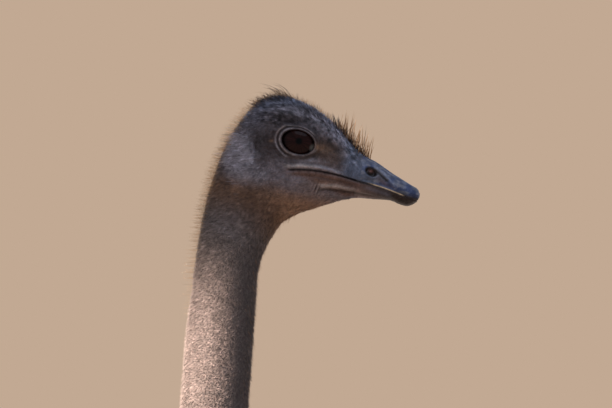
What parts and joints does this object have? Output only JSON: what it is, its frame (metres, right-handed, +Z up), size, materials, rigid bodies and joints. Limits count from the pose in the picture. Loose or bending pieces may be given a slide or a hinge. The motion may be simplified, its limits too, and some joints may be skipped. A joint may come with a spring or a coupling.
{
  "type": "ostrich",
  "caption": "Life-size still model of a standing ostrich hen, head raised and looking ahead, with folded wings and drooping tail plumes.",
  "frame": {"origin": "on the floor, below the middle of the whole bird's box", "axes": "+X forward, the way the bill points; +Y to the bird's left; +Z up"},
  "size_m": [1.2056, 0.5232, 1.8599],
  "materials": {
    "horn": "smooth dull horn",
    "face_skin": "grey bare skin with sparse bristles",
    "neck_down": "short woolly grey-buff down",
    "plumage": "loose grey-brown feathers",
    "pale_plumes": "soft pale plumes",
    "bare_skin": "bare pinkish grey leg skin",
    "scales": "horny leg scales",
    "eyeball": "wet dark brown"
  },
  "bodies": {
    "root": {"bill_upper": "horn", "bill_lower": "horn", "head": "face_skin", "neck_upper": "neck_down", "neck_middle": "neck_down", "neck_lower": "neck_down", "trunk": "plumage", "tail": "pale_plumes", "eye_left": "eyeball", "eye_right": "eyeball", "wing_left": "pale_plumes", "wing_right": "pale_plumes", "thigh_left": "bare_skin", "thigh_right": "bare_skin", "shank_left": "scales", "shank_right": "scales", "toe_middle_left": "scales", "toe_middle_right": "scales", "toe_outer_left": "scales", "toe_outer_right": "scales", "claw_left": "horn", "claw_right": "horn"}
  },
  "joints": []
}
